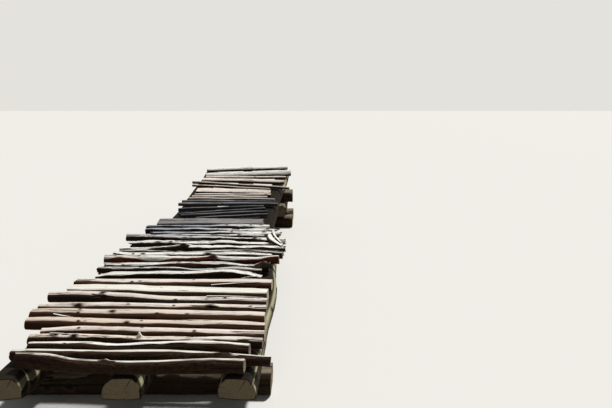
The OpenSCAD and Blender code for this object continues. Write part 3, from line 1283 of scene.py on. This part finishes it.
def near_looks() -> tuple[LogLook, ...]:
    """Treads 1 to 11: barked poles at the low end, then sound bleached poles and one board.

    Returns:
        Their looks in order.
    """
    broken = Cut.BROKEN
    barked = partial(LogLook, BARK_POLE, tone=(0.7, 0.8), crook=0.04, flutes=2)
    cream = partial(LogLook, CREAM_POLE)
    # Their edges and rises set where each top looks lit; the dark front below is painted shade as well as
    # weathering.
    return (
        barked(
            broken, bark=0.68, edge=16, knots=(Knot(0.42, 75, 9, 7, 0.0),),
            rise=((0, 30), (0.15, 32), (0.3, 6), (0.5, 6), (0.8, 14), (1, 12)),
        ),
        barked(bark=0.7, edge=20, rise=((0, 2), (0.3, 8), (0.6, 14), (1, 4))),
        LogLook(
            BONE_WOOD, bark=0.5, rot=0.2, edge=20, cracks=(Crack(0.3, 0.8, 120, 5, 8),), crook=0.05,
            tone=(0.6, 0.7), rise=((0, 4), (0.25, 6), (0.4, -6), (0.55, 6), (0.75, 16), (1, 6)),
            sway=((0, 0), (0.4, -6), (0.65, 12), (0.8, 14), (1, 4)),
        ),
        LogLook(
            BONE_WOOD, rot=0.35, bark=0.3, edge=42, hue=(0.4, 0.2), tone=(0.6, 0.7), crook=0.06, flutes=2,
            knots=(Knot(0.476, 88, 7, 34, 0.0), Knot(0.2, 120, 20, 6), Knot(0.12, 100, 14, 6)),
            rise=((0, 5), (0.3, 9), (0.75, 4), (1, 14)),
        ),
        LogLook(
            HALF_BARKED_POLE, bark=0.34, edge=40, tone=(0.2, 0.3), cracks=(Crack(0.84, 1.05, 105, 5, 10),),
            knots=(Knot(0.45, 78, 9, 3), Knot(0.69, 118, 7, 2), Knot(0.17, 112, 8, 3)),
            rise=((0, 2), (0.2, 13), (0.5, 4), (0.7, 8), (1, 4)),
            sway=((0, -2), (0.1, 8), (0.3, 8), (0.6, 2), (1, 2)),
        ),
        cream(
            bark=0.2, edge=38, hue=(0.3, 0.1), tone=(0.0, 0.2),
            knots=(Knot(0.49, 98, 8, 3), Knot(0.433, 128, 13, 3), Knot(0.23, 122, 8, 2)),
            cracks=(Crack(0.6, 0.78, 88, 4, 8, 6), Crack(0.82, 1.05, 128, 5, 9)),
            rise=((0, 7), (0.3, -2), (0.5, 6), (0.7, 10), (1, 6)),
        ),
        cream(
            bark=0.18, edge=35, tone=(-0.2, 0.1), hue=(0.25, 0.0),
            knots=(
                Knot(0.35, 107, 17, 4), Knot(0.21, 88, 9, 3), Knot(0.21, 128, 9, 3),
                Knot(0.545, 126, 8, 2),
            ),
            cracks=(Crack(-0.05, 0.14, 84, 4, 7), Crack(0.08, 0.24, 112, 5, 8)),
            rise=((0, 6), (0.45, 5), (0.65, -4), (0.8, -5), (1, 6)),
        ),
        cream(
            bark=0.15, edge=43, tone=(0.2, 0.3),
            knots=(
                Knot(0.175, 128, 27, 2), Knot(0.394, 104, 7, 2), Knot(0.596, 112, 7, 2),
                Knot(0.754, 134, 30, 6, 2.4), Knot(0.93, 110, 8, 2),
            ),
            cracks=(Crack(0.66, 0.8, 124, 7, 8), Crack(0.74, 0.88, 132, 7, 8)),
            rise=((0, 2), (0.2, 5), (0.55, 2), (0.7, 11), (0.9, 6), (1, 6)),
        ),
        LogLook(
            STAINED_POLE, edge=40, tone=(0.2, 0.0, 0.1, 0.2),
            knots=(
                Knot(0.255, 104, 17, 9), Knot(0.27, 128, 9, 16, 0.0), Knot(0.59, 132, 10, 3),
                Knot(0.81, 100, 8, 3),
            ),
            cracks=(
                Crack(0.78, 1.05, 84, 4, 8, 4), Crack(0.7, 1.05, 112, 4, 9, 6),
                Crack(0.2, 0.27, 118, 6, 9, 20),
            ),
            rise=((0, 12), (0.35, 9), (0.6, -12), (0.9, -9), (1, -2)),
        ),
        LogLook(
            WHITE_BOARD, broken, edge=52, jag=0.012, tone=(0.1, 0.15), checks=3,
            cracks=(Crack(0.19, 0.27, 70, 4, 6), Crack(0.27, 0.42, 62, 4, 6), Crack(0.5, 1.05, 66, 3, 5)),
            rise=((0, 3), (0.3, 13), (0.45, 0), (1, 12)),
        ),
        cream(
            broken, edge=36, tone=(0.05, 0.2), bark=0.18,
            knots=(Knot(0.607, 92, 8, 3), Knot(0.3, 122, 9, 2)),
            cracks=(
                Crack(-0.05, 0.12, 100, 7, 12), Crack(-0.05, 0.1, 122, 6, 12),
                Crack(0.22, 0.26, 96, 4, 6),
            ),
            rise=((0, 7), (0.2, -4), (0.4, -2), (0.65, 4), (1, 1)),
        ),
    )


def old_looks() -> tuple[LogLook, ...]:
    """Treads 12 to 21: old poles and slabs that rot has scoured, split and crumbled at the ends.

    Returns:
        Their looks in order.
    """
    broken = Cut.BROKEN
    old = partial(LogLook, BONE_WOOD, rot=0.35, crook=0.07, flutes=3, blur=5)
    # Their reach lines set where each top looks lit, so the dark fronts below are painted shade as well as
    # weathering, and their tones lighten or darken stretches as painted light and shade.
    return (
        old(
            broken, broken, rot=0.2, blur=4, tone=(0.0, 0.3), crook=0.04, flutes=2,
            rise=((0, -24), (0.1, -5), (0.3, 0), (0.4, 10), (0.6, 3), (0.8, 20), (0.9, 6), (1, -24)),
            reach=((0, 20), (0.15, 70), (0.3, 10), (0.4, 55), (0.65, 15), (0.8, 35), (0.9, 40), (1, 10)),
        ),
        old(
            broken, bark=0.25, tone=(0.2, 0.3, 0.6), crook=0.06,
            rise=((0, 15), (0.2, 16), (0.45, 8), (0.6, -8), (0.85, 13), (1, 0)),
            reach=((0, 35), (0.15, 50), (0.4, 25), (0.8, 60), (1, 45)),
        ),
        old(
            broken, broken, rot=0.3, bark=0.42, tone=(0.5, 0.4, 0.4),
            knots=(Knot(0.975, 166, 48, 44, 0.06), Knot(0.46, 90, 14, 6)),
            rise=((0, 7), (0.1, -3), (0.3, 0), (0.45, 14), (0.7, 16), (0.9, -12), (1, 4)),
            reach=((0, 35), (0.25, 55), (0.45, 30), (0.85, 40), (1, 5)),
        ),
        LogLook(
            RED_HEARTWOOD, rot=0.25, bark=0.1, tone=(1.0, 0.8, 0.3, 0.3), crook=0.06, flutes=3, blur=5,
            knots=(Knot(0.62, 112, 30, 16, 0.3), Knot(0.2, 80, 14, 5)),
            rise=((0, 24), (0.15, 10), (0.3, 14), (0.45, 4), (0.85, -8), (1, 12)),
            reach=((0, 70), (0.1, 30), (0.3, 90), (0.4, 45), (0.6, 20), (0.7, 75), (0.85, 55), (1, 15)),
        ),
        old(
            broken, broken, rot=0.45, tone=(0.3, 0.5, 0.6), crook=0.08, flutes=4,
            knots=(Knot(0.2, 96, 15, 5), Knot(0.14, 96, 11, 4), Knot(0.6, 100, 26, 8, 0.6)),
            cracks=(Crack(0.3, 0.55, 100, 6, 12, 8), Crack(0.66, 0.95, 92, 6, 12, -8)),
            rise=((0, 7), (0.1, 0), (0.5, 2), (0.75, 15), (1, 4)),
            reach=((0, 10), (0.15, 70), (0.3, 55), (0.5, 40), (0.75, 40), (1, 25)),
        ),
        old(
            broken, tone=(0.1, 0.3, 0.7),
            cracks=(Crack(0.1, 0.5, 96, 5, 10, 10), Crack(0.6, 1.05, 84, 6, 12, 14)),
            rise=((0, 15), (0.4, 7), (0.7, 20), (1, 13)),
            reach=((0, 30), (0.2, 20), (0.4, 35), (0.8, 20), (1, 40)),
        ),
        old(
            broken, broken, tone=(0.3, 0.5, 0.9), crook=0.08, bark=0.2,
            rise=((0, 10), (0.3, 13), (0.5, 7), (0.8, 17), (1, 22)),
            reach=((0, 35), (0.3, 50), (0.5, 25), (0.6, 45), (0.75, 20), (1, 70)),
        ),
        old(
            rot=0.25, bark=0.3, tone=(0.9, 0.5, 0.6), knots=(Knot(0.76, 120, 26, 10, 0.2),),
            rise=((0, 24), (0.3, 8), (0.55, 18), (0.8, 25), (0.9, 7), (1, 0)),
            reach=((0, 45), (0.3, 75), (0.4, 35), (0.9, 25), (1, 75)),
        ),
        old(
            broken, broken, rot=0.5, jag=0.05, tone=(0.2, 0.4, 0.9), crook=0.08, flutes=4, bark=0.3,
            knots=(Knot(0.2, 110, 20, 6), Knot(0.28, 95, 14, 4)),
            cracks=(Crack(0.05, 0.3, 100, 6, 12, 20), Crack(0.5, 0.75, 96, 5, 10)),
            rise=((0, -4), (0.3, 15), (0.5, 13), (0.6, 21), (0.8, 10), (1, 12)),
            reach=((0, 10), (0.2, 60), (0.6, 55), (0.8, 30), (1, 90)),
        ),
        old(
            right=broken, rot=0.4, jag=0.05, tone=(0.3, 0.1, 0.9), hue=(-0.3, 0.0), crook=0.08, flutes=4,
            knots=(Knot(0.8, 95, 18, 8, 0.8), Knot(0.9, 90, 14, 6)),
            rise=((0, 22), (0.25, 4), (1, 0)), reach=((0, 60), (0.2, 30), (0.3, 50), (0.8, 30), (1, 95)),
        ),
    )


def worn_looks() -> tuple[LogLook, ...]:
    """Treads 22 to 25: old poles, darkened and blued on the left as painted shade, and bone pale on the
    right.

    Returns:
        Their looks in order.
    """
    broken = Cut.BROKEN
    worn = partial(LogLook, BONE_WOOD, rot=0.35, crook=0.07, flutes=3)
    return (
        worn(
            broken, broken, jag=0.05, tone=(-0.2, 0.0, 0.8, 0.9), hue=(-0.6, 0.0), crook=0.08,
            knots=(Knot(0.75, 95, 16, 7, 1.0),), reach=((0, 40), (0.8, 45), (1, 90)),
        ),
        worn(
            broken, broken, jag=0.05, tone=(-0.3, -0.1, 0.9, 0.9), hue=(-0.8, -0.3, 0.2),
            knots=(Knot(0.86, 90, 20, 9, 0.6), Knot(0.62, 100, 12, 5, 1.0)),
            cracks=(Crack(0.55, 0.8, 100, 6, 10, 10),), reach=((0, 30), (0.4, 35), (1, 85)),
        ),
        worn(
            right=broken, rot=0.4, tone=(-0.4, -0.2, 0.9, 0.9), hue=(-0.9, -0.6, 0.2),
            knots=(Knot(0.7, 96, 14, 6, 1.0), Knot(0.93, 100, 15, 6, 0.8)),
            cracks=(Crack(0.45, 0.7, 96, 6, 10, -8), Crack(0.1, 0.35, 92, 5, 9, 8)),
            reach=((0, 35), (0.6, 45), (1, 80)),
        ),
        worn(
            broken, tone=(-0.5, -0.3, 0.7, 0.8), hue=(-1.0, -0.8, 0.1), crook=0.06, flutes=2,
            knots=(Knot(0.66, 100, 12, 5, 1.0), Knot(0.85, 98, 13, 5, 1.0)),
            cracks=(Crack(0.2, 0.5, 98, 5, 9, -8), Crack(0.6, 0.9, 84, 5, 9, 8)),
            reach=((0, 30), (0.5, 35), (1, 75)),
        ),
    )


def far_looks() -> tuple[LogLook, ...]:
    """Treads 26 to 42: a slab and grey poles in painted shade, then bleached poles up to the high end.

    Returns:
        Their looks in order.
    """
    silver, cream, bone = (partial(LogLook, finish) for finish in (SILVER_POLE, CREAM_POLE, BONE_WOOD))
    # Their tones are painted light and shade: the grey poles are darkened and blued where they lay in shade,
    # and some bleached poles are darker towards their right ends.
    return (
        silver(
            tone=(-0.2, 0.0), right=Cut.BROKEN, edge=52, jag=0.04, hue=(0.1, 0.1),
            cracks=(Crack(-0.05, 0.5, 90, 4, 6), Crack(0.4, 0.9, 75, 3, 5)),
        ),
        silver(tone=(-0.3, -0.3, -0.6), hue=(-0.3, -0.1), edge=30),
        silver(tone=(-0.3, -0.3, -0.6), hue=(-0.6, -0.3), edge=30),
        silver(tone=(-0.2, -0.3, -0.5), hue=(-0.5, -0.3), edge=28),
        silver(tone=(-0.4, -0.4, -0.7), hue=(-0.6, -0.5), edge=28),
        silver(tone=(0.6, 0.2, -0.6), hue=(-0.1, -0.5), edge=34),
        silver(tone=(1.0, 0.5, -0.7), hue=(0.0, -0.6), edge=72),
        cream(tone=(-0.2, -0.5, -1.0), hue=(0.1, -0.2), edge=46),
        cream(tone=(0.4, 0.2, -0.2), edge=48),
        cream(tone=(0.5, 0.4, 0.3), edge=52),
        cream(
            tone=(0.3, 0.1, -0.3), edge=54,
            cracks=(Crack(-0.05, 1.05, 102, 3, 5, 4), Crack(0.1, 0.9, 76, 3, 5, -5)),
        ),
        cream(tone=(0.4, 0.0, -0.5), edge=46),
        cream(tone=(0.4, 0.0, -0.2), edge=46),
        cream(tone=(0.9, 0.7, -0.3), edge=60),
        cream(tone=(0.8, 0.7, 0.4), edge=62),
        bone(tone=(0.3, 0.3, 0.2), edge=66, rise=((0, 0), (0.9, 0), (1, 8))),
        bone(tone=(0.6, 0.6, 0.6), edge=72),
    )


@dataclass
class Stringers:
    """The three swept logs that carry the deck, hewn flat where the treads sit.

    Attributes:
        names: The logs' nodes.
        first_seed: The first log's seed.
        far_edge: How far from the top the bleached face reaches on the far side, in degrees.
        looks: What each of them shows beside its own knots and cracks.
    """

    names: tuple[str, ...] = ("stringer_left", "stringer_middle", "stringer_right")
    first_seed: int = 40
    far_edge: float = 80.0
    # Its tone lightens stretches as painted light, its darkening line darkens the middle stretch as painted
    # shade, and its seat shade darkens the hewn tops beside the treads as painted shade.
    looks: LogLook = LogLook(
        STRINGER_WOOD, Cut.AXED, Cut.AXED, bark=0.4, crook=0.03, jag=0.05, edge=80, blur=20, seat_shade=1.7,
        tone=(0.1, 0.6, 0.3, 0.0, 0.0, 0.8),
        darkening=((0, 0), (0.5, 0.1), (0.58, 1.3), (0.85, 1.3), (0.89, 0), (1, 0)),
    )

    def build(self) -> None:
        """Builds the stringers over their nodes, each with its own knots and cracks at its sides."""
        for seed, name in enumerate(self.names, self.first_seed):
            rng = np.random.default_rng(seed)
            knots = tuple(
                Knot(at, rng.choice([10, 170]) + rng.uniform(-25, 25), rng.uniform(18, 30), 7)
                for at in np.arange(0.08, 0.95, 0.13) + rng.uniform(-0.04, 0.04, 7)
            )
            cracks = tuple(
                Crack(at, at + rng.uniform(0.1, 0.3), rng.choice([0, 180]) + rng.uniform(-30, 30), 6, 14)
                for at in rng.uniform(0, 0.8, 6)
            )
            look = replace(self.looks, knots=knots, cracks=cracks)
            form = LogForm.of_stringer(name)
            skin = LogSkin(
                f"{name}_log", form, look, seed, step=0.013, around=60, top_bias=0.0, far_edge=self.far_edge
            )
            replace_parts(skin.piece(), name)


@dataclass
class Bearings:
    """The sill log under the low end and the crossed logs under the high end.

    Attributes:
        axes: Each log's node and the axis that it lies along.
        first_seed: The first log's seed.
        far_edge: How far from the top the bleached face reaches on the far side, in degrees.
        looks: What each of them shows beside its own knots and cracks.
    """

    axes: tuple[tuple[str, np.ndarray], ...] = (
        ("low_sill", RIGHT), ("crib_sill_front", RIGHT), ("crib_sill_back", RIGHT), ("crib_bearer", RIGHT),
        ("crib_block_left", AHEAD), ("crib_block_right", AHEAD),
    )
    first_seed: int = 60
    far_edge: float = 80.0
    looks: LogLook = LogLook(SILL_WOOD, bark=0.6, edge=80, blur=20)

    def build(self) -> None:
        """Builds the sill and crib logs over their nodes, each with its own knots and cracks."""
        for seed, (name, along) in enumerate(self.axes, self.first_seed):
            rng = np.random.default_rng(seed)
            cracks = tuple(
                Crack(at, at + rng.uniform(0.2, 0.5), rng.choice([0, 180]) + rng.uniform(-35, 35), 6, 14)
                for at in rng.uniform(-0.1, 0.7, 4)
            )
            knots = tuple(
                Knot(rng.uniform(0.1, 0.9), rng.choice([0, 180]) + rng.uniform(-30, 30), 24, 8)
                for _ in range(3)
            )
            look = replace(self.looks, knots=knots, cracks=cracks)
            form = LogForm.of_hewn_log(name, along)
            skin = LogSkin(
                f"{name}_log", form, look, seed, step=0.012, around=56, top_bias=0.0, far_edge=self.far_edge
            )
            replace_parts(skin.piece(), name)


@dataclass(frozen=True)
class Sliver:
    """A split-off strip of wood, or a branch, that lies on one tread or across some.

    Attributes:
        name: The piece's name.
        start: The tread's number, the place along it and the angle round it where it starts.
        end: The same where it ends.
        width: Its width in millimetres.
        bow: How far it bows aside in millimetres.
        tone: Lighter or darker than bleached wood, -1 to 1.
        flat: Its height as a share of its width.
    """

    name: str
    start: tuple[int, float, float]
    end: tuple[int, float, float]
    width: float
    bow: float
    tone: float
    flat: float = 0.7

    def build(self, deck: Deck, seed: int) -> None:
        """Builds the sliver on the deck.

        Args:
            deck: The deck that it lies on.
            seed: Seed of everything random on it.
        """
        ends = [deck.skins[tread - 1].touch(at, angle) for tread, at, angle in (self.start, self.end)]
        form = LogForm.between(*ends, self.width * MM, self.flat * self.width * MM, self.bow * MM)
        look = LogLook(
            BONE_WOOD, Cut.BROKEN, Cut.BROKEN, tone=(self.tone, self.tone), jag=0.012, crook=0.12,
            flutes=0.4, checks=0,
        )
        LogSkin(self.name, form, look, seed, step=0.008, around=14, inset=0.0).piece()


# Seed of the first sliver.
SLIVER_SEED = 80
SLIVERS = (
    Sliver("sliver_on_tread_12", (11, 0.84, 70), (12, 0.985, 92), 10, 4, 0.4),
    Sliver("sliver_on_tread_11", (11, 0.7, 166), (11, 0.93, 130), 19, 3, 0.8),
    Sliver("sliver_on_tread_09", (9, 0.72, 86), (9, 0.985, 62), 15, 4, 0.4),
    Sliver("sliver_on_tread_07", (7, 0.105, 152), (7, 0.2, 170), 18, -3, 0.9),
    Sliver("sliver_on_tread_04", (4, 0.09, 84), (4, 0.2, 108), 11, 4, 0.1),
    Sliver("sliver_on_tread_20", (20, 0.3, 92), (20, 0.52, 84), 10, 5, 0.1),
    Sliver("branch_on_tread_21", (21, 0.89, 92), (18, 0.99, 92), 68, -28, 0.9),
    Sliver("branch_on_tread_23", (23, 0.94, 92), (20, 0.995, 88), 34, -16, 0.9),
)


@dataclass
class Studio:
    """A plain pale floor, a soft high key from the far side, and the camera at the photograph's place.

    Attributes:
        eye: The camera's place.
        pitch_down: How far it looks down in degrees.
        lens: Its focal length in millimetres on a 36 mm wide frame.
        floor_half: Half the floor's side in metres.
        pale: What the eye sees of the floor and of the room.
        floor_light: The floor's colour where it throws light back on the object.
        key_from: Where the key shines from.
        key_angle: How wide the key is in degrees, which softens its shadows.
        key_strength: Its strength in watts a square metre.
        fill_strength: Strength of the even light.
    """

    eye: tuple[float, float, float] = (1.04, -2.65, 1.783)
    pitch_down: float = 12.7
    lens: float = 28.0
    floor_half: float = 60.0
    pale: str = "#e4e2dc"
    floor_light: str = "#77726a"
    key_from: tuple[float, float, float] = (0.36, 0.32, 0.88)
    key_angle: float = 7.0
    key_strength: float = 3.45
    fill_strength: float = 0.15

    def camera(self) -> None:
        """Sets up the camera."""
        data = bpy.data.cameras.new("viewpoint")
        data.sensor_width = 36.0
        data.lens = self.lens
        data.clip_end = 500.0
        camera = bpy.data.objects.new("viewpoint", data)
        camera.location = self.eye
        camera.rotation_euler = (math.radians(90 - self.pitch_down), 0, 0)
        bpy.context.scene.collection.objects.link(camera)
        bpy.context.scene.camera = camera

    def _seen(self, graph: Graph, hidden: str | tuple) -> Socket:
        """A colour that the eye sees pale, straight or by a reflection, and that lights as another.

        Args:
            graph: The material's nodes.
            hidden: The colour that lights the object.

        Returns:
            The colour.
        """
        seen = 0.0
        for ray in ("Is Camera Ray", "Is Glossy Ray", "Is Transmission Ray"):
            seen = graph.add("Math", {0: seen, 1: graph.add("LightPath", output=ray)}, operation="MAXIMUM")
        return graph.add("Mix", {SHARE: seen, BELOW: hidden, ABOVE: self.pale}, COLOUR, data_type="RGBA")

    def floor(self) -> None:
        """Lays a plain floor that is pale to the eye and throws back less light than it seems to."""
        h = self.floor_half
        mesh = bpy.data.meshes.new("floor")
        mesh.from_pydata([(-h, -h, 0), (h, -h, 0), (h, h, 0), (-h, h, 0)], [], [(0, 1, 2, 3)])
        material = bpy.data.materials.new("plain_floor")
        material.use_nodes = True
        shader = material.node_tree.nodes["Principled BSDF"]
        shader.inputs["Roughness"].default_value = 0.9
        shader.inputs["Specular IOR Level"].default_value = 0.1
        colour = self._seen(Graph(material.node_tree), self.floor_light)
        material.node_tree.links.new(colour, shader.inputs["Base Color"])
        mesh.materials.append(material)
        floor = bpy.data.objects.new("floor", mesh)
        bpy.context.scene.collection.objects.link(floor)

    def lights(self) -> None:
        """Hangs a soft key high on the far side, and gives the room a low even light."""
        data = bpy.data.lights.new("key", "SUN")
        data.angle = math.radians(self.key_angle)
        data.energy = self.key_strength
        key = bpy.data.objects.new("key", data)
        key.rotation_euler = Vector(self.key_from).to_track_quat("Z", "Y").to_euler()
        bpy.context.scene.collection.objects.link(key)
        world = bpy.data.worlds.new("room")
        world.use_nodes = True
        background = world.node_tree.nodes["Background"]
        fill = (self.fill_strength,) * 3 + (1.0,)
        colour = self._seen(Graph(world.node_tree), fill)
        world.node_tree.links.new(colour, background.inputs["Color"])
        bpy.context.scene.world = world

    def build(self) -> None:
        """Builds the whole studio."""
        self.camera()
        self.floor()
        self.lights()
        bpy.context.scene.view_settings.view_transform = "Standard"


def main() -> None:
    """Builds the footbridge over its frame, and the studio around it."""
    logging.basicConfig(level=logging.INFO)
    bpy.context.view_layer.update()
    Studio().build()
    deck = Deck(near_looks() + old_looks() + worn_looks() + far_looks())
    deck.build()
    for seed, sliver in enumerate(SLIVERS, SLIVER_SEED):
        sliver.build(deck, seed)
    Stringers().build()
    Bearings().build()


if __name__ == "__main__":
    main()
